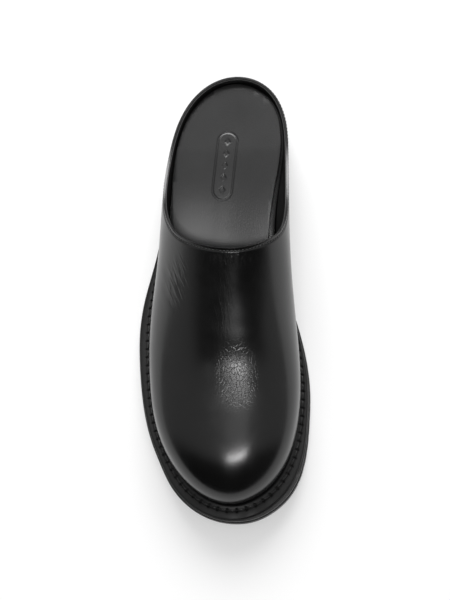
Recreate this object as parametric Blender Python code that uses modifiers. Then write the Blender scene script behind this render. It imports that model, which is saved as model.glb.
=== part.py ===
"""A leather mule for the right foot, standing on its sole.

Frame: metres, +Z up, the floor at z = 0. The toe points to -Y and the heel to +Y. -X is the outer side
of the foot and +X is its inner side. The origin is on the floor under the middle of the shoe.

Sizes below are in millimetres and become metres where a mesh is made.
"""

import math

import bmesh
import bpy
import numpy as np

MM = 0.001

# ---------------------------------------------------------------- driving dimensions
SOLE_LENGTH = 297.0
LAST_LENGTH = 287.5  # of the upper, at its widest line
BALL_WIDTH = 100.0  # of the upper, at the ball of the foot
HEEL_LIFT = 21.0  # the heel end of the outsole hangs this far above the floor
TOE_SPRING = 8.5
TOE_BOX_HEIGHT = 57.0  # above the floor, over the middle of the toe cap
THROAT_HEIGHT = 89.0  # above the floor, at the front of the opening
THROAT = 17.6  # where that is along the shoe
WALL = 2.4  # leather and lining together
GAP = 0.3  # between pieces that touch

# ---------------------------------------------------------------- layers, from the floor up
OUTSOLE = 7.0
MIDSOLE = 4.5
WELT = 3.4
INSOLE = 4.5
TOP_LIFT = 6.0
MIDSOLE_BASE = OUTSOLE + GAP
UPPER_BASE = MIDSOLE_BASE + MIDSOLE + GAP
WELT_TOP = UPPER_BASE + WELT
INSOLE_BASE = UPPER_BASE + WALL + GAP

FLANGE = 10.0  # the edge of the upper turned in under the insole
TURN = 2.2  # how much of the corner is taken off where it turns
WELT_STEP = 1.2  # the sole stands at least this far outside the welt
WELT_LEAST = 0.8  # the welt reaches at least this far outside the upper
WELT_END_INNER = 32.5
WELT_END_OUTER = 52.5
HEEL_BREAST = 72.5

LUG_PITCH = 10.5
LUG_GROOVE = 3.2
LUG_DEPTH = 2.2
LUG_SLOPE = 0.7
FOREFOOT_LUGS = (-123.5, -9.5)
HEEL_LUGS = (88.5, 131.5)

# ---------------------------------------------------------------- the last
HEEL_BACK = SOLE_LENGTH / 2
LAST_TOE = HEEL_BACK - LAST_LENGTH
LAST_ASIDE = 2.0  # the outline's own zero line stands this far to the inner side

# Its widest line seen from above, from the toe by the inner side to the heel and back by the outer side:
# (share of BALL_WIDTH across, share of LAST_LENGTH from the toe).
LAST_OUTLINE = (
    (0.040, 0.000),
    (0.233, 0.023),
    (0.392, 0.086),
    (0.476, 0.176),
    (0.500, 0.278),
    (0.481, 0.392),
    (0.452, 0.525),
    (0.442, 0.674),
    (0.437, 0.808),
    (0.408, 0.909),
    (0.289, 0.976),
    (0.094, 1.000),
    (-0.090, 0.982),
    (-0.266, 0.916),
    (-0.362, 0.811),
    (-0.406, 0.694),
    (-0.445, 0.555),
    (-0.497, 0.426),
    (-0.503, 0.312),
    (-0.449, 0.173),
    (-0.337, 0.088),
    (-0.155, 0.022),
)

RIDGE = 10.5  # the ridge of the vamp runs straight along the shoe here
TOE_CENTRE = -89.5  # the toe is a dome round this point of the ridge
HEEL_CENTRE = 103.5
INSTEP_SWEEP = 1.6  # the ridge climbs from the toe dome with this power
TOE_FULLNESS = 0.15  # the top of the toe stays flat further out than that of the vamp
TOE_FULLNESS_RUN = 36.0  # and fades into it over this length

# The top edge seen from the side: (along, height). Both sides of the foot share it.
TOPLINE = (
    (THROAT, THROAT_HEIGHT),
    (23.2, 82.6),
    (30.5, 74.4),
    (40.5, 66.8),
    (52.5, 60.0),
    (68.5, 53.4),
    (82.5, 49.0),
    (98.5, 46.8),
    (120.0, 46.2),
    (149.0, 46.6),
)

# ---------------------------------------------------------------- rows and columns of the meshes
FRONT_COLUMNS = 30  # on each side, from the toe to COLUMN_SPLIT
HEEL_COLUMNS = 12  # on each side, from COLUMN_SPLIT to the heel
COLUMN_SPLIT = 60.5
WALL_ROWS = 17
ROW_CROWDING = 1.3  # rows stand closer near the sole
EDGE_BAND = 4.0  # the last row of the upper is this wide all along the top edge
STATION_PITCH = 11.0


def smoothstep(value):
    value = np.clip(value, 0.0, 1.0)
    return value * value * (3.0 - 2.0 * value)


def bell(value, centre, width):
    return np.exp(-(((value - centre) / width) ** 2))


def share(along):
    """0 at the toe of the sole and 1 at its heel."""
    return (np.asarray(along) + SOLE_LENGTH / 2) / SOLE_LENGTH


def inner_side(across):
    """1 on the inner side of the foot and 0 on the outer side."""
    return smoothstep((np.asarray(across) - RIDGE) / 20.0 + 0.5)


def tread(along):
    """Height of the outsole's underside: toe spring, a flat forefoot, then the climb to the heel."""
    s = share(along)
    spring = TOE_SPRING * (np.clip(0.25 - s, 0, None) / 0.25) ** 2
    return spring + HEEL_LIFT * smoothstep((s - 0.42) / 0.42)


# ---------------------------------------------------------------- curves
def spline(x, y, where):
    """The natural cubic spline through the knots (x, y), at the places in where."""
    n, gaps = len(x), np.diff(x)
    slopes = np.diff(y) / gaps
    matrix, right = np.eye(n), np.zeros(n)
    for i in range(1, n - 1):
        matrix[i, i - 1 : i + 2] = gaps[i - 1], 2 * (gaps[i - 1] + gaps[i]), gaps[i]
        right[i] = 6 * (slopes[i] - slopes[i - 1])
    bend = np.linalg.solve(matrix, right)
    i = np.clip(np.searchsorted(x, where) - 1, 0, n - 2)
    gap, back, on = gaps[i], x[i + 1] - where, where - x[i]
    cubic = (bend[i] * back**3 + bend[i + 1] * on**3) / (6 * gap)
    line = (y[i] / gap - bend[i] * gap / 6) * back + (y[i + 1] / gap - bend[i + 1] * gap / 6) * on
    return cubic + line


def closed_curve(points, count):
    """A smooth closed curve through the points, as count points evenly spaced from the first one."""
    overlap = 4
    points = np.array(points, float)
    ring = np.vstack([points[-overlap:], points, points[: overlap + 1]])
    reach = np.concatenate([[0], np.cumsum(np.linalg.norm(np.diff(ring, axis=0), axis=1))])
    where = np.linspace(reach[overlap], reach[-overlap - 1], 40 * count)
    fine = np.stack([spline(reach, ring[:, k], where) for k in range(2)], axis=1)
    run = np.concatenate([[0], np.cumsum(np.linalg.norm(np.diff(fine, axis=0), axis=1))])
    places = np.linspace(0, run[-1], count, endpoint=False)
    return np.stack([np.interp(places, run, fine[:, k]) for k in range(2)], axis=1)


def outward(loop):
    """Unit vectors that point out of a loop that runs anticlockwise from above."""
    along = np.roll(loop, -1, axis=0) - np.roll(loop, 1, axis=0)
    along /= np.linalg.norm(along, axis=1)[:, None]
    return np.stack([along[:, 1], -along[:, 0]], axis=1)


def at(loop, index):
    """The value at a fractional index of a closed loop."""
    low = int(math.floor(index))
    part = index - low
    return loop[low % len(loop)] * (1 - part) + loop[(low + 1) % len(loop)] * part


# ---------------------------------------------------------------- loops seen from above
# These run side by side: the same index is the same place round the shoe in all of them.
LAST_POINTS = [(LAST_ASIDE + BALL_WIDTH * x, LAST_TOE + LAST_LENGTH * y) for x, y in LAST_OUTLINE]
LAST_LOOP = closed_curve(LAST_POINTS, 720)
ALONG = share(LAST_LOOP[:, 1])
INNER = inner_side(LAST_LOOP[:, 0])

# How far the widest line stands above the welt, and how far the upper is drawn in under it there.
RISE = (
    10.5
    - 4.0 * smoothstep((ALONG - 0.70) / 0.15)
    + 17.0 * INNER * bell(ALONG, 0.60, 0.14)
    + 4.5 * (1 - INNER) * bell(ALONG, 0.60, 0.16)
)
TUCK = 1.7 - 1.4 * smoothstep((ALONG - 0.72) / 0.12) + 7.8 * INNER * bell(ALONG, 0.63, 0.14)
FEATHER_LOOP = LAST_LOOP - outward(LAST_LOOP) * TUCK[:, None]
FEATHER_OUT = outward(FEATHER_LOOP)

# The welt's margin outside the upper: wide round the toe, nearly none at the waist. The sole's is wider.
HEEL_EDGE = -0.4 - 1.4 * smoothstep((ALONG - 0.72) / 0.12)
TOE_MARGIN = (3.6 + 1.8 * INNER) * (1 - smoothstep(ALONG / (0.16 + 0.08 * INNER)))
INNER_MARGIN = 6.2 * (1 - smoothstep((ALONG - 0.29) / 0.29)) + 1.2 * bell(ALONG, 0.17, 0.09)
OUTER_MARGIN = 7.4 * (1 - smoothstep((ALONG - 0.42) / 0.38)) + 2.4 * bell(ALONG, 0.50, 0.11)
OUTER_MARGIN += 1.6 * bell(ALONG, 0.36, 0.13) + 1.2 * bell(ALONG, 0.09, 0.05)
WELT_MARGIN = HEEL_EDGE + TOE_MARGIN + INNER * INNER_MARGIN + (1 - INNER) * OUTER_MARGIN
SOLE_MARGIN = WELT_MARGIN + WELT_STEP + 2.0 * INNER * bell(ALONG, 0.08, 0.06)
SOLE_LOOP = FEATHER_LOOP + FEATHER_OUT * SOLE_MARGIN[:, None]


# ---------------------------------------------------------------- the dome of the upper
def ridge_height(along):
    run = max((along - TOE_CENTRE) / (THROAT - TOE_CENTRE), 0)
    return TOE_BOX_HEIGHT + (THROAT_HEIGHT - TOE_BOX_HEIGHT) * run**INSTEP_SWEEP


def edge_beyond(centre, point):
    """The widest line straight outward from a centre on the ridge: its place and its rise."""
    if TOE_CENTRE < point[1] < HEEL_CENTRE:
        half = (LAST_LOOP[:, 0] - RIDGE) * (point[0] - RIDGE) >= 0
        key, value, period = LAST_LOOP[half, 1], point[1], None
    else:
        half = np.ones(len(LAST_LOOP), bool)
        key = np.arctan2(LAST_LOOP[:, 1] - centre[1], LAST_LOOP[:, 0] - centre[0])
        value, period = math.atan2(point[1] - centre[1], point[0] - centre[0]), 2 * math.pi
    order = np.argsort(key)
    data = np.column_stack([LAST_LOOP[half], RISE[half]])[order]
    found = [np.interp(value, key[order], data[:, k], period=period) for k in range(3)]
    return np.array(found[:2]), found[2]


def dome(point):
    """The surface point of a place in the flattened dome.

    The flattened dome is the plane inside the widest line, with the ridge along its middle. The share of
    the way from the edge to the ridge is the parameter of a Bezier arc that starts upright and ends level.
    """
    centre = np.array([RIDGE, np.clip(point[1], TOE_CENTRE, HEEL_CENTRE)])
    edge, rise = edge_beyond(centre, point)
    t = 1 - np.linalg.norm(point - centre) / np.linalg.norm(edge - centre)
    low = tread(edge[1]) + WELT_TOP + rise
    high = ridge_height(centre[1])
    vamp = smoothstep((centre[1] - TOE_CENTRE) / (THROAT - TOE_CENTRE))
    toe = 1 - smoothstep((centre[1] - TOE_CENTRE) / TOE_FULLNESS_RUN)
    side_pull = 0.66 - (0.24 if point[0] > RIDGE else 0.36) * vamp
    top_pull = 0.60 - 0.06 * vamp + TOE_FULLNESS * toe
    out = (1 - t) ** 3 + 3 * (1 - t) ** 2 * t + 3 * (1 - t) * t**2 * top_pull
    up = 3 * (1 - t) ** 2 * t * side_pull + 3 * (1 - t) * t**2 + t**3
    place = centre + (edge - centre) * out
    return np.array([place[0], place[1], low + (high - low) * up])


def under_topline(edge, centre):
    """The place between the widest line and the ridge that comes out at the height of the top edge."""
    x, y = np.array(TOPLINE).T
    near, far = 0.0, 1.0
    for _ in range(24):
        middle = (near + far) / 2
        point = dome(edge + (centre - edge) * middle)
        near, far = (middle, far) if point[2] < spline(x, y, point[1]) else (near, middle)
    return edge + (centre - edge) * near


def throat_curve(side):
    """The front of the top edge in the flattened dome, from the ridge back to COLUMN_SPLIT."""
    curve = [(RIDGE, THROAT)]
    for t in np.linspace(0, 1, 50)[1:]:
        along = THROAT + (COLUMN_SPLIT - THROAT) * t**2
        centre = np.array([RIDGE, along])
        curve.append(under_topline(edge_beyond(centre, centre + [side, 0])[0], centre))
    return np.array(curve)


def half_columns(side):
    """The columns of one side from toe to heel: (index of the foot on the loops, place of the head)."""
    toe, heel = np.argmin(LAST_LOOP[:, 1]), np.argmax(LAST_LOOP[:, 1])
    if side > 0:
        indices = np.arange(toe, heel + 1)
    else:
        indices = np.arange(toe + len(LAST_LOOP), heel - 1, -1)
    split = indices[np.argmax(LAST_LOOP[indices % len(LAST_LOOP), 1] > COLUMN_SPLIT)]
    front = np.linspace(indices[0], split, FRONT_COLUMNS, endpoint=False)
    back = np.linspace(split, indices[-1], HEEL_COLUMNS + 1)

    curve = throat_curve(side)
    run = np.concatenate([[0], np.cumsum(np.linalg.norm(np.diff(curve, axis=0), axis=1))])
    steps = np.linspace(0, run[-1], FRONT_COLUMNS, endpoint=False)
    heads = [np.array([np.interp(step, run, curve[:, k]) for k in range(2)]) for step in steps]
    for index in back:
        foot = at(LAST_LOOP, index)
        heads.append(under_topline(foot, np.array([RIDGE, min(foot[1], HEEL_CENTRE)])))
    return list(zip(np.concatenate([front, back]), heads))


# Columns all round: from the toe by the inner side to the heel and back by the outer side.
COLUMNS = half_columns(1) + half_columns(-1)[-2:0:-1]


# ---------------------------------------------------------------- building
def new_object(name, mesh_data, colour, roughness):
    mesh = bpy.data.meshes.new(name)
    mesh_data.to_mesh(mesh)
    mesh_data.free()
    made = bpy.data.objects.new(name, mesh)
    material = bpy.data.materials.new(name)
    material.use_nodes = True
    surface = material.node_tree.nodes["Principled BSDF"]
    surface.inputs["Base Color"].default_value = (*colour, 1)
    surface.inputs["Roughness"].default_value = roughness
    surface.inputs["Metallic"].default_value = 0
    mesh.materials.append(material)
    collection.objects.link(made)
    return made


def column_points(index, head):
    """One column of the upper, from the turned-in edge under the insole to the top edge."""
    foot, feather = at(LAST_LOOP, index), at(FEATHER_LOOP, index)
    out = at(FEATHER_OUT, index)
    points = []
    for inset, lift in ((FLANGE, 0), (TURN, 0), (0, TURN)):
        place = feather - out * inset
        points.append((*place, tread(place[1]) + UPPER_BASE + lift))
    path = []
    for t in np.linspace(0, 1, 12, endpoint=False):
        place = feather + (foot - feather) * (1 - (1 - t) ** 2)
        path.append((*place, tread(place[1]) + WELT_TOP + at(RISE, index) * t))
    path += [dome(foot + (head - foot) * t) for t in np.linspace(0, 1, 50)]
    path = np.array(path)
    run = np.concatenate([[0], np.cumsum(np.linalg.norm(np.diff(path, axis=0), axis=1))])
    rows = (run[-1] - EDGE_BAND) * np.linspace(0, 1, WALL_ROWS) ** ROW_CROWDING
    for row in [*rows, run[-1]]:
        points.append([np.interp(row, run, path[:, k]) for k in range(3)])
    return points


def build_upper():
    shell = bmesh.new()
    grid = []
    for index, head in COLUMNS:
        grid.append([shell.verts.new(np.array(point) * MM) for point in column_points(index, head)])
    for left, right in zip(grid, grid[1:] + grid[:1]):
        for row in range(len(left) - 1):
            shell.faces.new((left[row], right[row], right[row + 1], left[row + 1]))
    for face in shell.faces:
        face.smooth = True
    upper = new_object("upper", shell, (0.012, 0.012, 0.013), 0.42)
    wall = upper.modifiers.new("wall", "SOLIDIFY")
    wall.thickness = WALL * MM
    wall.offset = -1
    wall.use_even_offset = True


def build_slab(name, loop, low, high, stations, colour, roughness, start=None):
    """A flat piece with the outline of loop, bent so that its faces follow low and high.

    It is cut across at each station, and what lies towards the toe from start is left out.
    """
    slab = bmesh.new()
    outline = [slab.verts.new((*(at(loop, index) * MM), 0)) for index, _ in COLUMNS]
    slab.faces.new(outline)
    for station in stations:
        bmesh.ops.bisect_plane(
            slab,
            geom=slab.verts[:] + slab.edges[:] + slab.faces[:],
            dist=1e-6,
            plane_co=(0, station * MM, 0),
            plane_no=(0, 1, 0),
            clear_inner=bool(station == start),
        )
    lower = slab.faces[:]
    raised = bmesh.ops.extrude_face_region(slab, geom=lower)
    upper_verts = {item for item in raised["geom"] if isinstance(item, bmesh.types.BMVert)}
    knots = np.concatenate([[-SOLE_LENGTH / 2 - 1], stations, [SOLE_LENGTH / 2 + 1]])
    for vert in slab.verts:
        along = vert.co.y / MM
        profile = high if vert in upper_verts else low
        vert.co.z = np.interp(along, knots, profile(knots)) * MM
    bmesh.ops.recalc_face_normals(slab, faces=slab.faces[:])
    return new_object(name, slab, colour, roughness)


def lug_stations(first, last):
    count = int((last - first) / LUG_PITCH) + 1
    starts = [first + LUG_PITCH * i for i in range(count)]
    steps = (0, LUG_SLOPE, LUG_GROOVE - LUG_SLOPE, LUG_GROOVE)
    return [start + step for start in starts for step in steps]


def lug_depth(along, first, last):
    """How far the grooves between the lugs go up into the rubber."""
    stations = lug_stations(first, last)
    return np.interp(along, stations, [0, LUG_DEPTH, LUG_DEPTH, 0] * (len(stations) // 4), 0, 0)


def build_welt():
    """The strip on the sole outside the upper, from the inner waist round the toe to the outer waist."""
    strip = bmesh.new()
    sections = []
    for index, _ in COLUMNS[len(COLUMNS) // 2 :] + COLUMNS[: len(COLUMNS) // 2]:
        feather = at(FEATHER_LOOP, index)
        if feather[1] > (WELT_END_INNER if feather[0] > RIDGE else WELT_END_OUTER):
            continue
        out = at(FEATHER_OUT, index)
        edges = feather + out * GAP, feather + out * max(at(WELT_MARGIN, index), WELT_LEAST)
        corners = ((edges[0], UPPER_BASE), (edges[1], UPPER_BASE), (edges[1], WELT_TOP), (edges[0], WELT_TOP))
        sections.append(
            [strip.verts.new((x * MM, y * MM, (tread(y) + z) * MM)) for (x, y), z in corners]
        )
    for one, two in zip(sections, sections[1:]):
        for k in range(4):
            strip.faces.new((one[k], two[k], two[(k + 1) % 4], one[(k + 1) % 4]))
    strip.faces.new(sections[0])
    strip.faces.new(sections[-1][::-1])
    bmesh.ops.recalc_face_normals(strip, faces=strip.faces[:])
    new_object("welt", strip, (0.014, 0.014, 0.014), 0.55)


def layer(height):
    """A face that runs parallel to the tread."""
    return lambda along: tread(along) + height


def flat(height):
    return lambda along: np.full(len(along), height)


def forefoot_tread(along):
    return tread(along) + lug_depth(along, *FOREFOOT_LUGS)


def heel_tread(along):
    return lug_depth(along, *HEEL_LUGS)


for leftover in list(bpy.data.objects):
    bpy.data.objects.remove(leftover)
collection = bpy.data.collections.new("mule")
bpy.context.scene.collection.children.link(collection)

SOCK = (0.07, 0.07, 0.07)
RUBBER = (0.016, 0.016, 0.016)
INSOLE_LOOP = FEATHER_LOOP - FEATHER_OUT * (WALL + GAP + 0.5)

bends = np.arange(8 - SOLE_LENGTH / 2, SOLE_LENGTH / 2, STATION_PITCH)
forefoot_lugs = lug_stations(*FOREFOOT_LUGS)
outsole_bends = [bends[0]] + forefoot_lugs + [y for y in bends if y > forefoot_lugs[-1] + 3]
heel_bends = [HEEL_BREAST] + [y for y in bends if y > HEEL_BREAST + 3]
lift_bends = [HEEL_BREAST] + lug_stations(*HEEL_LUGS)

build_upper()
build_welt()
build_slab("insole", INSOLE_LOOP, layer(INSOLE_BASE), layer(INSOLE_BASE + INSOLE), bends, SOCK, 0.8)
build_slab("midsole", SOLE_LOOP, layer(MIDSOLE_BASE), layer(MIDSOLE_BASE + MIDSOLE), bends, RUBBER, 0.6)
build_slab("outsole", SOLE_LOOP, forefoot_tread, layer(OUTSOLE), outsole_bends, RUBBER, 0.7)
build_slab("heel_block", SOLE_LOOP, flat(TOP_LIFT + GAP), layer(-GAP), heel_bends, RUBBER, 0.6, HEEL_BREAST)
build_slab("top_lift", SOLE_LOOP, heel_tread, flat(TOP_LIFT), lift_bends, RUBBER, 0.7, HEEL_BREAST)
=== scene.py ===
import math

import bmesh
import bpy
import numpy as np
from mathutils import Matrix, Vector


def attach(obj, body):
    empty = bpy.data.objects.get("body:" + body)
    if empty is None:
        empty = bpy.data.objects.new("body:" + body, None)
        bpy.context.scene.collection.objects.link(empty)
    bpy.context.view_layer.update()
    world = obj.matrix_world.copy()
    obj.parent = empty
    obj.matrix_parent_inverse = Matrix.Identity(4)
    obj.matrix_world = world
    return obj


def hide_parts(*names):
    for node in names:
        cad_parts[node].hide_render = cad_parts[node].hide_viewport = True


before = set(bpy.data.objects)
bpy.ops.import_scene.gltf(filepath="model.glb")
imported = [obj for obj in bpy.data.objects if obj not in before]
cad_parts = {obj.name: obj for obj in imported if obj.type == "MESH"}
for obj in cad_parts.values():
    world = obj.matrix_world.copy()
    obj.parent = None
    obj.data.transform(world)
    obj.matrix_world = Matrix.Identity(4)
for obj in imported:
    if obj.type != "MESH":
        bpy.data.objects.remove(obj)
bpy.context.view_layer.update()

# ------------------------------------------------------------------------------------- upper
# The upper is one piece of smooth black calf, 1.5 mm thick, drawn wet over a last and turned in
# under the insole. It covers the toe and vamp and runs low round an open heel. The vamp dips where
# the foot bends, and the instep and the outer side show the soft folds of lasting.

MM = 0.001
RIDGE = 10.5 * MM  # the middle line of the vamp, seen from above
ANKLE = 75 * MM  # how far back the middle of the opening is
ABOVE_SOLE = 40 * MM  # only the top edge is higher than this at the rim of the skin
LEATHER = 1.5 * MM
EDGE_ROUND = 0.5 * MM
SEWN_AT = 1.9 * MM  # the edge stitches lie this far below the top edge
SEWN_DIP = 0.4 * MM
SEWN_WIDTH = 0.75 * MM
# Rows of points this far below the top edge let the row of stitches sink in.
NEAR_EDGE = (3.6 * MM, 3.1 * MM, 2.6 * MM, 2.1 * MM, 1.6 * MM, 0.8 * MM, 0.0)
# How the leather turns under the insole: how far in from the feather line, and how far down.
TURNED_IN = ((9 * MM, 3.4 * MM), (2.2 * MM, 3.4 * MM), (0.6 * MM, 2.8 * MM), (0, 1.2 * MM))
FOLD_FLOOR = 45 * MM  # no fold is drawn lower than this
NARROW = 5  # a fold narrower than this, in millimetres, has a swell on both sides


def lasted_rows(node, count):
    """The outer skin of a CAD wall as closed rows of points, from the feather line up to the top edge.

    Each row starts at the toe end and runs round by the inner side of the foot.
    """
    wall = bmesh.new()
    wall.from_mesh(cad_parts[node].data)
    bmesh.ops.remove_doubles(wall, verts=wall.verts[:], dist=1e-6)
    corners = [edge for edge in wall.edges if edge.calc_face_angle() > math.radians(60)]
    bmesh.ops.split_edges(wall, edges=corners)
    skin, fresh = set(), {min(wall.verts, key=lambda vert: vert.co.y)}
    while fresh:
        skin |= fresh
        fresh = {edge.other_vert(vert) for vert in fresh for edge in vert.link_edges} - skin
    rows, done = [], set()
    row = {vert for vert in skin if vert.is_boundary and vert.co.z > ABOVE_SOLE}
    while len(rows) < count:
        done |= row
        places = np.array([vert.co for vert in row])
        turn = np.arctan2(places[:, 1] - ANKLE, places[:, 0] - RIDGE)
        places = places[np.argsort((turn + math.pi / 2 + 1e-3) % (2 * math.pi))]
        if rows and len(places) == len(rows[-1]):
            rolls = [np.roll(places, roll, axis=0) for roll in (-1, 0, 1)]
            places = min(rolls, key=lambda rolled: np.sum((rolled - rows[-1]) ** 2))
        elif rows:
            nearest = [np.argmin(np.sum((places - point) ** 2, axis=1)) for point in rows[-1]]
            places = places[nearest]
        rows.append(places)
        row = {edge.other_vert(vert) for vert in row for edge in vert.link_edges} - done
    wall.free()
    return np.array(rows[::-1])


def net(rows):
    """A mesh with its points on closed rows that run anticlockwise, the lowest first."""
    mesh = bmesh.new()
    around, up = len(rows[0]), len(rows) - 1
    bmesh.ops.create_grid(mesh, x_segments=around, y_segments=up, size=0.5)
    for vert in mesh.verts:
        column = round((vert.co.x + 0.5) * around) % around
        vert.co = rows[round((vert.co.y + 0.5) * up)][column]
    bmesh.ops.remove_doubles(mesh, verts=mesh.verts[:], dist=1e-7)
    return mesh


def shown(name, mesh, material):
    """Makes the mesh a smooth visible piece that belongs to the shoe."""
    data = bpy.data.meshes.new(name)
    mesh.to_mesh(data)
    mesh.free()
    data.shade_smooth()
    data.materials.append(material)
    made = bpy.data.objects.new(name, data)
    bpy.context.scene.collection.objects.link(made)
    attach(made, "root")
    return made


def subdivided(mesh, levels):
    """The mesh after Catmull-Clark subdivision."""
    data = bpy.data.meshes.new("coarse")
    mesh.to_mesh(data)
    mesh.free()
    coarse = bpy.data.objects.new("coarse", data)
    bpy.context.scene.collection.objects.link(coarse)
    smooth = coarse.modifiers.new("smooth", "SUBSURF")
    smooth.levels = smooth.render_levels = levels
    bpy.context.view_layer.update()
    fine = coarse.evaluated_get(bpy.context.evaluated_depsgraph_get())
    mesh = bmesh.new()
    mesh.from_mesh(fine.to_mesh())
    fine.to_mesh_clear()
    bpy.data.objects.remove(coarse)
    bpy.data.meshes.remove(data)
    mesh.normal_update()
    return mesh


def outward(points):
    """Level unit vectors that point out of a closed loop that runs anticlockwise."""
    along = np.roll(points, -1, axis=0) - np.roll(points, 1, axis=0)
    along = along[:, :2] / np.linalg.norm(along[:, :2], axis=1)[:, None]
    return np.stack([along[:, 1], -along[:, 0]], axis=1)


def below_top(rows, depths):
    """Rows of points at these depths below the top edge, measured down the skin."""
    top, under = rows[-1], rows[-2]
    step = np.linalg.norm(under - top, axis=1)[:, None]
    return [top + (under - top) * (depth / step) for depth in depths]


def finish(name, **sockets):
    """A new material, with these values on its shader's own sockets."""
    made = bpy.data.materials.new(name)
    made.use_nodes = True
    shader = made.node_tree.nodes["Principled BSDF"]
    for socket, value in sockets.items():
        shader.inputs[socket.replace("_", " ")].default_value = value
    return made


def node(material, kind, values=None, **settings):
    """A new node. Values are numbers for its inputs, or output sockets to link into them."""
    tree = material.node_tree
    made = tree.nodes.new("ShaderNode" + kind)
    for setting, value in settings.items():
        setattr(made, setting, value)
    for socket, value in (values or {}).items():
        if isinstance(value, bpy.types.NodeSocket):
            tree.links.new(value, made.inputs[socket])
        else:
            made.inputs[socket].default_value = value
    return made


def drive(material, socket, output):
    """Links an output to one of the shader's own sockets."""
    shader = material.node_tree.nodes["Principled BSDF"]
    material.node_tree.links.new(output, shader.inputs[socket])


def spread(material, value, low, high, out_low, out_high):
    """Maps a texture value from one range to another, smoothly."""
    values = {"Value": value, "From Min": low, "From Max": high, "To Min": out_low, "To Max": out_high}
    return node(material, "MapRange", values, interpolation_type="SMOOTHSTEP").outputs["Result"]


def mottle(material, cloud, dark, light):
    """Lets the colour drift between two tones."""
    tone = node(material, "ValToRGB", {"Fac": cloud.outputs["Fac"]})
    for element, at, colour in zip(tone.color_ramp.elements, (0.3, 0.7), (dark, light)):
        element.position = at
        element.color = (*colour, 1)
    drive(material, "Base Color", tone.outputs["Color"])


def fine_grain(material, place, scale, detail, strength, depth):
    """A bump of fine even grain, as a normal."""
    grain = node(material, "TexNoise", {"Vector": place, "Scale": scale, "Detail": detail})
    values = {"Strength": strength, "Distance": depth, "Height": grain.outputs["Fac"]}
    return node(material, "Bump", values).outputs["Normal"]


def patch_at(material, place, centre, size):
    """How far a place is from a patch's middle: 1 at its border."""
    values = {"Vector": place, "Location": centre, "Scale": size}
    patch = node(material, "Mapping", values, vector_type="TEXTURE")
    return node(material, "VectorMath", {0: patch.outputs["Vector"]}, operation="LENGTH").outputs["Value"]


def calf_leather(name, colour, roughness, pebble):
    """Smooth polished calf. Its grain opens into small cracked pebbles where the vamp flexes."""
    made = finish(name, Specular_IOR_Level=0.5)
    place = node(made, "TexCoord").outputs["Object"]
    cloud = node(made, "TexNoise", {"Vector": place, "Scale": 45.0, "Detail": 3.0})
    polish = spread(made, cloud.outputs["Fac"], 0.3, 0.7, roughness - 0.03, roughness + 0.04)
    drive(made, "Roughness", polish)
    mottle(made, cloud, [c * 0.8 for c in colour], [c * 1.25 for c in colour])
    bent = node(made, "TexNoise", {"Vector": place, "Scale": 260.0, "Detail": 2.0})
    sway = (0.0014, 0.0014, 0.0014)
    shift = node(made, "VectorMath", {0: bent.outputs["Color"], 1: sway}, operation="MULTIPLY")
    warped = node(made, "VectorMath", {0: place, 1: shift.outputs["Vector"]}, operation="ADD")
    drawn = node(made, "Mapping", {"Vector": warped.outputs["Vector"], "Scale": (1.35, 0.8, 1.0)})
    values = {"Vector": drawn.outputs["Vector"], "Scale": 400.0}
    cells = node(made, "TexVoronoi", values, feature="DISTANCE_TO_EDGE")
    pebbles = spread(made, cells.outputs["Distance"], 0.0, 0.10, 0.0, 1.0)
    flexed = patch_at(made, place, FLEX_CENTRE, FLEX_SIZE)
    open_grain = spread(made, flexed, 0.55, 1.0, 1.0, 0.06)
    strength = node(made, "Math", {0: open_grain, 1: pebble}, operation="MULTIPLY").outputs["Value"]
    relief = fine_grain(made, place, 1300.0, 4.0, 0.25, 0.00005)
    values = {"Strength": strength, "Distance": 0.00016, "Height": pebbles, "Normal": relief}
    relief = node(made, "Bump", values).outputs["Normal"]
    for centre, size, turned, pitch, depth in DRAWN:
        fade = spread(made, patch_at(made, place, centre, size), 0.3, 1.0, 1.0, 0.0)
        values = {"Vector": place, "Rotation": (0, 0, turned), "Scale": (1, 9, 4)}
        lined = node(made, "Mapping", values, vector_type="TEXTURE").outputs["Vector"]
        values = {"Vector": lined, "Scale": 1.0 / pitch, "Detail": 2.0, "Distortion": 0.6}
        lines = node(made, "TexNoise", values)
        ridges = spread(made, lines.outputs["Fac"], 0.38, 0.62, 0.0, 1.0)
        values = {"Strength": fade, "Distance": depth, "Height": ridges, "Normal": relief}
        relief = node(made, "Bump", values).outputs["Normal"]
    drive(made, "Normal", relief)
    return made


def walled(piece, thickness, edge, segments):
    """Gives a skin its thickness, on the inner side, and rounds its cut edges."""
    wall = piece.modifiers.new("wall", "SOLIDIFY")
    wall.thickness = thickness
    wall.offset = -1
    wall.use_even_offset = True
    rounded = piece.modifiers.new("rounded edge", "BEVEL")
    rounded.width = edge
    rounded.segments = segments
    rounded.limit_method = "ANGLE"
    rounded.angle_limit = math.radians(50)


FLEX_CENTRE = (12.5 * MM, -59 * MM, 60 * MM)  # the vamp bends here
FLEX_SIZE = (18 * MM, 27 * MM, 27 * MM)
# Where lasting drew the grain into fine lines: the middle and size of each patch, how the lines
# turn, how far apart they are and how deep.
DRAWN = (
    ((3 * MM, -12 * MM, 78 * MM), (13 * MM, 38 * MM, 42 * MM), 0.06, 1.5 * MM, 0.00003),
    ((-26 * MM, 2 * MM, 62 * MM), (12 * MM, 24 * MM, 30 * MM), 0.38, 2.0 * MM, 0.00014),
    ((10 * MM, 12 * MM, 86 * MM), (26 * MM, 7 * MM, 20 * MM), 0.0, 1.6 * MM, 0.00012),
)

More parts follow.
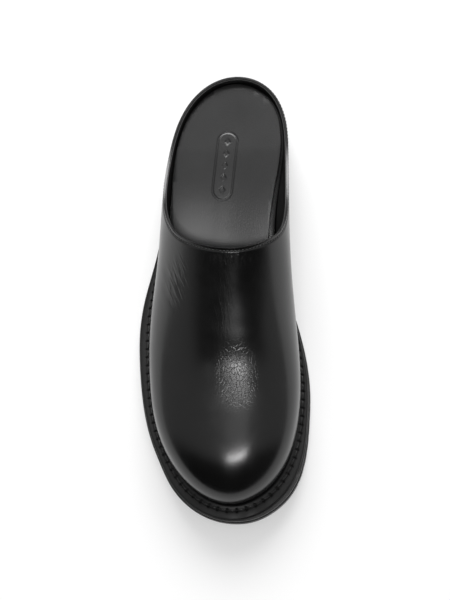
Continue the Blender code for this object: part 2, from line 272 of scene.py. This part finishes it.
# Each fold is a soft trough, and a narrow one has a low swell on both sides: where it starts and
# ends seen from above, how wide it is and how deep, in millimetres.
FOLDS = (
    ((-6.5, 14.0), (-4.5, 5.5), 1.2, 0.12),
    ((-0.8, 14.8), (0.4, 2.5), 1.2, 0.16),
    ((4.6, 15.2), (4.4, 7.5), 1.1, 0.12),
    ((9.8, 15.2), (10.8, 4.5), 1.2, 0.12),
    ((17.8, 14.4), (16.4, 6.5), 1.2, 0.10),
    ((-36.5, 17.0), (-26.5, -10.0), 1.6, 0.16),
    ((-32.5, 19.0), (-20.0, -16.0), 1.6, 0.22),
    ((-28.0, 15.0), (-17.5, -9.0), 1.5, 0.15),
    ((-37.5, 5.0), (-29.0, -16.0), 1.5, 0.12),
    ((-10.0, -22.0), (6.0, -29.0), 3.2, 0.06),
    ((8.0, -31.0), (26.0, -27.0), 3.2, 0.06),
    ((-18.0, -52.0), (42.0, -52.0), 13.0, 0.65),
)

rows = lasted_rows("upper", 18)
feather = rows[0]
band = below_top(rows, NEAR_EDGE)
feather_out = outward(feather)
turned_in = [
    feather - np.hstack([feather_out * inset, np.full((len(feather), 1), drop)])
    for inset, drop in TURNED_IN
]
leather = subdivided(net([*turned_in, *rows[:-1], *band]), 2)
places = np.array([vert.co for vert in leather.verts])
lift = np.zeros(len(places))
for start, end, width, depth in FOLDS:
    start, end = np.array(start) * MM, np.array(end) * MM
    length = np.linalg.norm(end - start)
    heading = (end - start) / length
    run = (places[:, :2] - start) @ heading / length
    off = np.abs((places[:, :2] - start) @ np.array([-heading[1], heading[0]])) / (width * MM)
    fade = np.clip(run / 0.25, 0, 1) * np.clip((1 - run) / 0.4, 0, 1) * (places[:, 2] > FOLD_FLOOR)
    swell = (0.4 if width < NARROW else 0) * np.exp(-((off - 2.0) ** 2))
    lift += fade * fade * (3 - 2 * fade) * (swell - np.exp(-(off**2))) * depth * MM
top_points = np.array([vert.co for vert in leather.verts if vert.is_boundary and vert.co.z > ABOVE_SOLE])
for vert, rise in zip(leather.verts, lift):
    depth = np.sqrt(np.min(np.sum((top_points - np.array(vert.co)) ** 2, axis=1)))
    sewn = -SEWN_DIP * math.exp(-(((depth - SEWN_AT) / SEWN_WIDTH) ** 2))
    vert.co += vert.normal * (float(rise) + sewn)
UPPER_LEATHER = calf_leather("upper_leather", (0.0032, 0.0032, 0.0032), 0.22, 0.22)
upper = shown("upper_leather", leather, UPPER_LEATHER)
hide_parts("upper")
walled(upper, LEATHER, EDGE_ROUND, 3)

# ------------------------------------------------------------------------------------- lining
# The lining is thin black leather, skived to 0.75 mm and glued flesh to flesh inside the upper.
# It stops just under the top edge, where the edge stitches catch it.

LINING = 0.75 * MM
LINING_SET_IN = 1.56 * MM
LINING_ROUND = 0.25 * MM
LINING_TOP = (2.0 * MM, 0.45 * MM)  # its last two rows of points, below the top edge

inside = net([*rows[2:-1], *below_top(rows, LINING_TOP)])
inside.normal_update()
for vert in inside.verts:
    vert.co -= vert.normal * LINING_SET_IN
inside = subdivided(inside, 1)
LINING_LEATHER = calf_leather("lining_leather", (0.006, 0.006, 0.006), 0.5, 0.3)
lining = shown("lining", inside, LINING_LEATHER)
walled(lining, LINING, LINING_ROUND, 2)

# ------------------------------------------------------------------------------ edge stitches
# One row of fine black thread holds upper and lining together 1.9 mm below the top edge. Each
# stitch is 1.8 mm of bonded thread pulled down into the leather at both ends.

EDGE_PITCH = 2.45 * MM
EDGE_STITCH = (0.92 * MM, 0.36 * MM, 0.30 * MM)  # half its length, width and height
EDGE_SUNK = 0.16 * MM


def even_loop(points, count):
    """A smooth closed curve through the points, as count points an even way apart."""
    size = len(points)
    one = np.eye(size)
    share = (4 * one + np.roll(one, 1, axis=0) + np.roll(one, -1, axis=0)) / 6
    knots = np.linalg.solve(share, points)
    where = np.linspace(0, size, 40 * size, endpoint=False)
    whole = where.astype(int)
    part = (where - whole)[:, None]
    near = [knots[(whole + k) % size] for k in (-1, 0, 1, 2)]
    middle = (3 * part**3 - 6 * part**2 + 4, 3 * (part + part**2 - part**3) + 1)
    weights = ((1 - part) ** 3, *middle, part**3)
    fine = sum(weight * knot for weight, knot in zip(weights, near)) / 6
    closed = np.vstack([fine, fine[:1]])
    run = np.concatenate([[0], np.cumsum(np.linalg.norm(np.diff(closed[:, :3], axis=0), axis=1))])
    evenly = np.linspace(0, run[-1], count, endpoint=False)
    return np.stack([np.interp(evenly, run, closed[:, k]) for k in range(closed.shape[1])], axis=1)


def loop_length(points):
    """How long a closed loop of points is."""
    return float(np.sum(np.linalg.norm(np.roll(points, -1, axis=0) - points, axis=1)))


def lay_stitch(mesh, middle, along, up, size):
    """A short bead of thread, lying along one direction on a surface that faces up."""
    along, up = Vector(along).normalized(), Vector(up)
    side = up.cross(along).normalized()
    turn = Matrix((along, side, along.cross(side))).transposed().to_4x4()
    place = Matrix.Translation(Vector(middle)) @ turn @ Matrix.Diagonal((*size, 1))
    place = place @ Matrix.Rotation(math.pi / 2, 4, "Y")
    bmesh.ops.create_uvsphere(mesh, u_segments=8, v_segments=6, radius=1, matrix=place)


def thread(name, colour, roughness, pitch):
    """Twisted, waxed thread."""
    made = finish(name, Base_Color=(*colour, 1), Roughness=roughness, Specular_IOR_Level=0.5)
    place = node(made, "TexCoord").outputs["Object"]
    drive(made, "Normal", fine_grain(made, place, 1.0 / pitch, 2.0, 0.5, 0.0001))
    return made


sewn_row = below_top(rows, [SEWN_AT])[0]
count = round(loop_length(sewn_row) / EDGE_PITCH)
line = even_loop(np.hstack([sewn_row, rows[-1] - sewn_row]), count)
beads = bmesh.new()
for i in range(count):
    along = line[(i + 1) % count, :3] - line[i - 1, :3]
    facing = np.cross(along, line[i, 3:])
    facing /= np.linalg.norm(facing)
    lay_stitch(beads, line[i, :3] - facing * EDGE_SUNK, along, facing, EDGE_STITCH)
bmesh.ops.recalc_face_normals(beads, faces=beads.faces[:])
EDGE_THREAD = thread("edge_thread", (0.012, 0.012, 0.012), 0.45, 0.3 * MM)
shown("edge_stitches", beads, EDGE_THREAD)

# --------------------------------------------------------------------------------------- welt
# A black leather welt, 3.4 mm thick, is sewn to the upper from one side of the waist round the
# toe to the other. Its top carries the lock stitches in a shallow channel, with the mark of the
# fudging wheel pressed between each stitch and the next. Its outer edge is rounded and inked.

WELT_PITCH = 5.5 * MM
WELT_STEPS = 14  # cuts of the strip for each stitch
WELT_BASE = 12.1 * MM
WELT_TOP = 15.5 * MM
WELT_GAP = 0.3 * MM
WELT_END_INNER = 34.0 * MM
WELT_END_OUTER = 54.0 * MM
WELT_SHOWN = 3.2 * MM  # the strip is stitched where it is at least this wide
STITCH_LINE = 0.40  # of the way across the strip
CHANNEL = 0.35 * MM
NOTCH = 0.95 * MM
NOTCH_LENGTH = 0.42 * MM
EDGE_STEPS = ((0, 0.3), (0, 1.2), (0, 2.3), (0.15, 2.85), (0.5, 3.22), (1.0, 3.4))  # in, up, in mm
WHEEL_MARKS = (-2.2, -1.5, -1.0, -0.55, 0.0, 0.55, 1.0, 1.5, 2.2)  # points across the channel, in mm


def reach(piece, points, facing):
    """How far a CAD piece reaches outward from each point."""
    corners = np.array([vert.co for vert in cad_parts[piece].data.vertices])
    found = []
    for point, out in zip(points, facing):
        away = (corners - point)[:, :2]
        level = np.abs(away @ np.array([-out[1], out[0]])) < 0.9 * MM
        ahead = away @ out[:2]
        near = ahead[level & (ahead > -2 * MM) & (ahead < 20 * MM)]
        found.append(near.max() if len(near) else np.nan)
    found = np.array(found)
    gaps = np.isnan(found)
    index = np.arange(len(found))
    found[gaps] = np.interp(index[gaps], index[~gaps], found[~gaps], period=len(found))
    return found


fine_feather = even_loop(feather, 1200)
index = [int(np.argmin(np.sum((fine_feather - point) ** 2, axis=1))) for point in feather]
facing = outward(fine_feather)[index]
margins = np.stack([reach("welt", feather, facing), reach("midsole", feather, facing)], axis=1)
round_shoe = np.hstack([feather, margins])


def edge_ink(name, colour, roughness, shine, grain, depth):
    """Black sole material: fine even grain under a thin coat of ink."""
    made = finish(name, Base_Color=(*colour, 1), Roughness=roughness, Specular_IOR_Level=shine)
    place = node(made, "TexCoord").outputs["Object"]
    cloud = node(made, "TexNoise", {"Vector": place, "Scale": 90.0, "Detail": 4.0})
    worn = spread(made, cloud.outputs["Fac"], 0.3, 0.7, roughness - 0.07, roughness + 0.07)
    drive(made, "Roughness", worn)
    drive(made, "Normal", fine_grain(made, place, 1.0 / grain, 5.0, 0.5, depth))
    return made


def welt_section(width, phase):
    """The strip's section: (out from the feather line, up from its base), all the way round."""
    room = width - WELT_GAP
    scale = min(1.0, room / (6 * MM))
    line = WELT_GAP + room * STITCH_LINE
    thick = WELT_TOP - WELT_BASE
    sewn = 1.0 if width > WELT_SHOWN else 0.0
    press = math.exp(-((min(phase, 1 - phase) * WELT_PITCH / NOTCH_LENGTH) ** 2))
    points = [(WELT_GAP, 0), (width * 0.5, 0), (width - 0.3 * MM * scale, 0)]
    for inset, up in EDGE_STEPS:
        points.append((width - inset * MM * scale, up * MM))
    for off in WHEEL_MARKS[::-1]:
        dip = CHANNEL * math.exp(-((off / 1.0) ** 2))
        dip += NOTCH * press / (1 + math.exp((abs(off) - 1.15) * 6))
        points.append((line + off * MM * scale, thick - dip * sewn * scale))
    points.append((WELT_GAP, thick))
    return points


cuts = round(loop_length(feather) / WELT_PITCH) * WELT_STEPS
fine_line = np.roll(even_loop(round_shoe, cuts), cuts // 2, axis=0)
fine_out = outward(fine_line)
ends = np.where(fine_line[:, 0] > RIDGE, WELT_END_INNER, WELT_END_OUTER)
strip = [i for i in range(cuts) if fine_line[i, 1] < ends[i]]
sections = [welt_section(fine_line[i, 3], (i % WELT_STEPS) / WELT_STEPS) for i in strip]
around = len(sections[0])
welt_mesh = bmesh.new()
bmesh.ops.create_grid(welt_mesh, x_segments=len(strip) - 1, y_segments=around, size=0.5)
for vert in welt_mesh.verts:
    step = round((vert.co.x + 0.5) * (len(strip) - 1))
    out, up = sections[step][round((vert.co.y + 0.5) * around) % around]
    foot = fine_line[strip[step]]
    flat = foot[:2] + fine_out[strip[step]] * out
    vert.co = (*flat, foot[2] - WELT_TOP + WELT_BASE + up)
bmesh.ops.remove_doubles(welt_mesh, verts=welt_mesh.verts[:], dist=1e-7)
bmesh.ops.holes_fill(welt_mesh, edges=[edge for edge in welt_mesh.edges if edge.is_boundary])
bmesh.ops.recalc_face_normals(welt_mesh, faces=welt_mesh.faces[:])
WELT_LEATHER = edge_ink("welt_leather", (0.006, 0.006, 0.006), 0.46, 0.30, 0.35 * MM, 0.00008)
welt = shown("welt_strip", welt_mesh, WELT_LEATHER)
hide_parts("welt")

# ------------------------------------------------------------------------------ welt stitches
# The lock stitches are 1.2 mm waxed black thread, one every 5.5 mm. Each lies in the channel
# between two wheel marks, pulled tight and leaning slightly outward.

WELT_STITCH = (2.15 * MM, 0.62 * MM, 0.50 * MM)  # half its length, width and height
WELT_SUNK = 0.22 * MM
WELT_LEAN = 0.10

lock = bmesh.new()
for i in strip:
    if i % WELT_STEPS != WELT_STEPS // 2 or fine_line[i, 3] < WELT_SHOWN:
        continue
    ahead, behind = fine_line[(i + 3) % cuts, :3], fine_line[i - 3, :3]
    along = (ahead - behind) / np.linalg.norm(ahead - behind)
    out = WELT_GAP + (fine_line[i, 3] - WELT_GAP) * STITCH_LINE
    middle = fine_line[i, :3] + np.array([*(fine_out[i] * out), -WELT_SUNK])
    lean = along + np.array([*(fine_out[i] * WELT_LEAN), 0])
    lay_stitch(lock, middle, lean, (0, 0, 1), WELT_STITCH)
bmesh.ops.recalc_face_normals(lock, faces=lock.faces[:])
WELT_THREAD = thread("welt_thread", (0.016, 0.016, 0.016), 0.36, 0.5 * MM)
shown("welt_stitches", lock, WELT_THREAD)

# ------------------------------------------------------------------------------------ midsole
# The midsole is 4.5 mm of black leather board, cut a little larger than the welt and rounded at
# both edges. It follows the last: up at the toe, flat under the ball, and up again to the heel.

SOLE_LENGTH = 297 * MM
TOE_SPRING = 8.5 * MM
HEEL_LIFT = 21 * MM
MIDSOLE = (7.3 * MM, 11.8 * MM)
BOARD_INSET = 0.7 * MM
BEND_PITCH = 5.5 * MM  # the flat layers are cut across this often, so that they can bend


def tread(along):
    """How high the walking side of the sole is above the floor."""
    share = np.asarray(along) / SOLE_LENGTH + 0.5
    spring = TOE_SPRING * np.clip((0.25 - share) / 0.25, 0, None) ** 2
    climb = np.clip((share - 0.42) / 0.42, 0, 1)
    return spring + HEEL_LIFT * climb * climb * (3 - 2 * climb)


def slice_at(mesh, place, across, clear=False):
    """Cuts a mesh along an upright plane, and clears what lies before it if asked to."""
    bmesh.ops.bisect_plane(
        mesh,
        geom=mesh.verts[:] + mesh.edges[:] + mesh.faces[:],
        dist=1e-7,
        plane_co=place,
        plane_no=across,
        clear_inner=clear,
    )


def slab(outline, cuts, start=None):
    """A flat face inside the outline, cut across at each place; what lies ahead of start is left out."""
    mesh = bmesh.new()
    bmesh.ops.create_circle(mesh, cap_ends=True, segments=len(outline), radius=1)
    mesh.verts.ensure_lookup_table()
    for vert, place in zip(mesh.verts, outline):
        vert.co = (*place[:2], 0)
    for cut in cuts:
        slice_at(mesh, (0, cut, 0), (0, 1, 0), bool(cut == start))
    return mesh


def thicken(mesh, low, high):
    """Gives a flat face a lower and an upper side. Their heights follow the place along the shoe."""
    raised = bmesh.ops.extrude_face_region(mesh, geom=mesh.faces[:])
    upper_side = {item for item in raised["geom"] if isinstance(item, bmesh.types.BMVert)}
    for vert in mesh.verts:
        vert.co.z = float((high if vert in upper_side else low)(vert.co.y))
    bmesh.ops.recalc_face_normals(mesh, faces=mesh.faces[:])


def round_edges(mesh, width, segments):
    """Rounds the edges between the upright wall and the two sides."""
    mesh.normal_update()
    upright = {face for face in mesh.faces if abs(face.normal.z) < 0.02 and len(face.verts) == 4}
    edges = [edge for edge in mesh.edges if sum(face in upright for face in edge.link_faces) == 1]
    bmesh.ops.bevel(
        mesh,
        geom=edges,
        offset=width,
        affect="EDGES",
        segments=segments,
        profile=0.5,
        material=-1,
        clamp_overlap=True,
    )


def sharp_corners(piece, degrees):
    """Shades the piece flat across corners sharper than this."""
    piece.data.set_sharp_from_angle(angle=math.radians(degrees))


sole_outline = even_loop(round_shoe, 420)
sole_outline = sole_outline[:, :2] + outward(sole_outline) * sole_outline[:, 4:]
bends = np.arange(-SOLE_LENGTH / 2 + 3 * MM, SOLE_LENGTH / 2, BEND_PITCH)
board_outline = sole_outline - outward(sole_outline) * BOARD_INSET
board = slab(board_outline, bends)
thicken(board, lambda y: tread(y) + MIDSOLE[0], lambda y: tread(y) + MIDSOLE[1])
round_edges(board, 1.5 * MM, 4)
SOLE_EDGE = edge_ink("sole_edge", (0.005, 0.005, 0.005), 0.36, 0.5, 0.5 * MM, 0.00006)
midsole = shown("midsole_board", board, SOLE_EDGE)
sharp_corners(midsole, 40)
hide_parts("midsole")

# ------------------------------------------------------------------------------------ outsole
# The outsole is 7 mm of moulded black rubber, glued under the midsole. Cross grooves 2.2 mm deep
# divide the forefoot into bars; the waist is plain.

OUTSOLE_TOP = 7 * MM
LUG_PITCH = 10.5 * MM
LUG_STEPS = (0.0, 0.7 * MM, 2.5 * MM, 3.2 * MM)  # down one side of a groove and up the other
LUG_DEPTH = 2.2 * MM
FOREFOOT_LUGS = (-123.5 * MM, -9.5 * MM)
HEEL_LUGS = (88.5 * MM, 131.5 * MM)


def grooves(first, last):
    """Where the grooves' corners are along the shoe, and how deep the groove is at each."""
    starts = first + LUG_PITCH * np.arange(int((last - first) / LUG_PITCH) + 1)
    corners = (starts[:, None] + np.array(LUG_STEPS)).ravel()
    return corners, np.tile([0, LUG_DEPTH, LUG_DEPTH, 0], len(starts))


corners, depths = grooves(*FOREFOOT_LUGS)
plain = [bend for bend in bends if not corners[0] - 2 * MM < bend < corners[-1] + 2 * MM]
rubber = slab(sole_outline, [*plain, *corners])
thicken(
    rubber,
    lambda y: tread(y) + np.interp(y, corners, depths, 0, 0),
    lambda y: tread(y) + OUTSOLE_TOP,
)
round_edges(rubber, 0.8 * MM, 3)
SOLE_RUBBER = edge_ink("sole_rubber", (0.008, 0.008, 0.008), 0.5, 0.5, 0.6 * MM, 0.0001)
outsole = shown("outsole_rubber", rubber, SOLE_RUBBER)
sharp_corners(outsole, 40)
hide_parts("outsole")

# --------------------------------------------------------------------------------------- heel
# The heel is a block of black rubber board under the outsole, with a breast straight across. A
# 6 mm top lift of the same rubber as the outsole is nailed under it, with five cross grooves.

HEEL_BREAST = 72.5 * MM
TOP_LIFT = 6 * MM
JOINT = 0.3 * MM

heel_bends = [HEEL_BREAST, *[bend for bend in bends if bend > HEEL_BREAST + 2 * MM]]
block = slab(sole_outline, heel_bends, HEEL_BREAST)
thicken(block, lambda y: TOP_LIFT + JOINT, lambda y: tread(y) - JOINT)
round_edges(block, 0.4 * MM, 2)
heel = shown("heel_stack", block, SOLE_EDGE)
sharp_corners(heel, 40)
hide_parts("heel_block")

lift_corners, lift_depths = grooves(*HEEL_LUGS)
lift_rubber = slab(sole_outline, [HEEL_BREAST, *lift_corners], HEEL_BREAST)
thicken(lift_rubber, lambda y: np.interp(y, lift_corners, lift_depths, 0, 0), lambda y: TOP_LIFT)
round_edges(lift_rubber, 0.5 * MM, 2)
top_lift = shown("top_lift_rubber", lift_rubber, SOLE_RUBBER)
sharp_corners(top_lift, 40)
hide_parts("top_lift")

# ------------------------------------------------------------------------------------- insole
# The insole is 4.5 mm board covered with smooth charcoal leather. It lies close to the wall except
# along the inner waist, dips a little away from its edge and rises under the arch. A plain mark is
# pressed into it: a long ring round a row of diamonds.

INSOLE = (14.8 * MM, 19.3 * MM)
INSOLE_INSET = 3.2 * MM
DISH = 0.7 * MM
DISH_RUN = 30 * MM  # the dip is full this far from the edge
INNER_GAP = 1.0 * MM  # the board stands this much further from the wall on the inner side
WAIST_GAP = 1.7 * MM  # and this much more again at the waist
WAIST_AT = 25 * MM
WAIST_LENGTH = 38 * MM
INNER_RUN = 20 * MM  # the inner side's gap grows over this width
ARCH = 0.9 * MM  # how much the board is built up under the inner arch
ARCH_START = -10 * MM
ARCH_WIDTH = 52 * MM
ARCH_AT = 42 * MM
ARCH_LENGTH = 34 * MM
WELD = 0.24 * MM  # points closer than this are merged before the board gets its thickness
CUT = 0.5 * MM  # how finely the board is cut under the mark
COARSE_CUTS = np.arange(-44, 45, 3) * MM
MARK_CENTRE = np.array([2.7, 88.0]) * MM
MARK_TURN = math.radians(7)
MARK_LENGTH = 46 * MM
MARK_WIDTH = 13 * MM
MARK_DEPTH = 0.3 * MM
MARK_LINE = 0.5 * MM  # half the width of a pressed line, and of a diamond's soft edge
DIAMONDS = 5
DIAMOND = (1.5 * MM, 1.9 * MM)  # half its width and half its length


def mark_depth(x, y):
    """How deep the stamp pressed at a place."""
    dx, dy = x - MARK_CENTRE[0], y - MARK_CENTRE[1]
    along = dy * math.cos(MARK_TURN) + dx * math.sin(MARK_TURN)
    across = dx * math.cos(MARK_TURN) - dy * math.sin(MARK_TURN)
    straight = (MARK_LENGTH - MARK_WIDTH) / 2
    ring = abs(math.hypot(across, max(abs(along) - straight, 0)) - MARK_WIDTH / 2)
    pitch = 2 * straight / (DIAMONDS - 1)
    place = min(max(round(along / pitch), -(DIAMONDS // 2)), DIAMONDS // 2)
    shape = abs(across) / DIAMOND[0] + abs(along - place * pitch) / DIAMOND[1]
    diamond = max(shape - 1, 0) * DIAMOND[0]
    return MARK_DEPTH * math.exp(-((min(ring, diamond) / MARK_LINE) ** 4))


insole_outline = even_loop(feather, 300)
inner_half = np.clip((insole_outline[:, 0] - RIDGE) / INNER_RUN, 0, 1)
waist = np.exp(-(((insole_outline[:, 1] - WAIST_AT) / WAIST_LENGTH) ** 2))
inset = INSOLE_INSET + inner_half * (INNER_GAP + WAIST_GAP * waist)
insole_outline = insole_outline[:, :2] - outward(insole_outline) * inset[:, None]
half_length, half_width = MARK_LENGTH / 2 + 2 * MM, MARK_WIDTH / 2 + 4 * MM
fine_along = np.arange(-half_length, half_length, CUT) + MARK_CENTRE[1]
coarse_along = [bend for bend in bends if not fine_along[0] < bend < fine_along[-1]]
board = slab(insole_outline, [*coarse_along, *fine_along])
fine_across = np.arange(-half_width, half_width, CUT) + MARK_CENTRE[0]
coarse_across = [cut for cut in COARSE_CUTS if not fine_across[0] < cut < fine_across[-1]]
for cut in [*coarse_across, *fine_across]:
    slice_at(board, (cut, 0, 0), (1, 0, 0))
bmesh.ops.remove_doubles(board, verts=board.verts[:], dist=WELD)
thicken(board, lambda y: tread(y) + INSOLE[0], lambda y: tread(y) + INSOLE[1])
round_edges(board, 0.8 * MM, 3)
for vert in board.verts:
    if vert.co.z < tread(vert.co.y) + INSOLE[1] - 0.05 * MM:
        continue
    gap = insole_outline - np.array(vert.co[:2])
    edge = math.sqrt(np.min(np.sum(gap * gap, axis=1)))
    dished = min(edge / DISH_RUN, 1)
    vert.co.z -= DISH * dished * dished * (3 - 2 * dished) + mark_depth(vert.co.x, vert.co.y)
    inner = min(max((vert.co.x - ARCH_START) / ARCH_WIDTH, 0), 1)
    vert.co.z += ARCH * inner**3 * math.exp(-(((vert.co.y - ARCH_AT) / ARCH_LENGTH) ** 2))
SOCK = finish("sock_leather", Roughness=0.29, Specular_IOR_Level=0.45)
place = node(SOCK, "TexCoord").outputs["Object"]
cloud = node(SOCK, "TexNoise", {"Vector": place, "Scale": 60.0, "Detail": 4.0})
mottle(SOCK, cloud, (0.0085, 0.0085, 0.0087), (0.0115, 0.0115, 0.0118))
drive(SOCK, "Normal", fine_grain(SOCK, place, 1100.0, 4.0, 0.5, 0.0001))
insole = shown("insole_board", board, SOCK)
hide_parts("insole")

# ------------------------------------------------------------------------------------- studio
# White paper lies on the floor. A small bright box hangs over the toe, two long dim ones hang over
# the shoe, and a large one stands behind the heel. The room is dark on the toe side and grey behind.

floor = bmesh.new()
bmesh.ops.create_grid(floor, x_segments=1, y_segments=1, size=4)
floor_data = bpy.data.meshes.new("floor")
floor.to_mesh(floor_data)
floor.free()
ground = bpy.data.objects.new("floor", floor_data)
bpy.context.scene.collection.objects.link(ground)
paper = finish(
    "floor_paper",
    Base_Color=(0.55, 0.55, 0.55, 1),
    Roughness=0.9,
    Emission_Color=(1, 1, 1, 1),
    Emission_Strength=0.40,
)
floor_data.materials.append(paper)

lens = bpy.data.cameras.new("camera")
lens.sensor_width = 36
lens.lens = 108.72
lens.clip_end = 20
camera = bpy.data.objects.new("camera", lens)
bpy.context.scene.collection.objects.link(camera)
bpy.context.scene.camera = camera
LEAN, RISE = math.radians(4), math.radians(77)
AIM = Vector((2.5, -3.8, 35)) * MM
AWAY = 1.2
level = math.cos(LEAN)
back = Vector((math.sin(LEAN), -math.cos(RISE) * level, math.sin(RISE) * level)).normalized()
right = Vector((0, 1, 0)).cross(back).normalized()
turn = Matrix((right, back.cross(right), back)).transposed().to_4x4()
camera.matrix_world = Matrix.Translation(AIM + back * AWAY) @ turn


def lamp(name, direction, distance, width, height, radiance):
    """A soft box that shines on the shoe from one direction. Its height runs along the shoe."""
    data = bpy.data.lights.new(name, "AREA")
    data.shape = "RECTANGLE"
    data.size = width
    data.size_y = height
    data.energy = radiance * math.pi * width * height
    made = bpy.data.objects.new(name, data)
    bpy.context.scene.collection.objects.link(made)
    back = Vector(direction).normalized()
    made.location = Vector((0.002, -0.02, 0.05)) + back * distance
    made.rotation_euler = back.to_track_quat("Z", "Y").to_euler()
    made.visible_camera = False
    return made


def overhead(degrees, aside=0.0):
    """A direction that leans this far from straight up towards the toe."""
    lean = math.radians(degrees)
    return (aside, -math.sin(lean), math.cos(lean))


lamp("key_box", overhead(15, 0.035), 1.35, 0.40, 0.11, 30.0)
lamp("long_box_front", overhead(28), 1.4, 0.40, 0.5, 0.07)
lamp("long_box_back", overhead(-8), 1.4, 0.42, 0.6, 0.85)
lamp("back_box", (0.0, 0.75, 0.70), 2.0, 1.4, 0.9, 10.5)

world = bpy.data.worlds.new("studio")
bpy.context.scene.world = world
world.use_nodes = True
axes = node(world, "SeparateXYZ", {"Vector": node(world, "TexCoord").outputs["Generated"]})
walls = spread(world, axes.outputs["Y"], -0.32, -0.12, 0.04, 0.5)
rays = node(world, "LightPath")
seen = node(world, "Math", {0: walls, 1: rays.outputs["Is Camera Ray"]}, operation="MAXIMUM")
backdrop = world.node_tree.nodes["Background"]
backdrop.inputs["Color"].default_value = (1, 1, 1, 1)
world.node_tree.links.new(seen.outputs["Value"], backdrop.inputs["Strength"])
bpy.context.scene.view_settings.view_transform = "Standard"
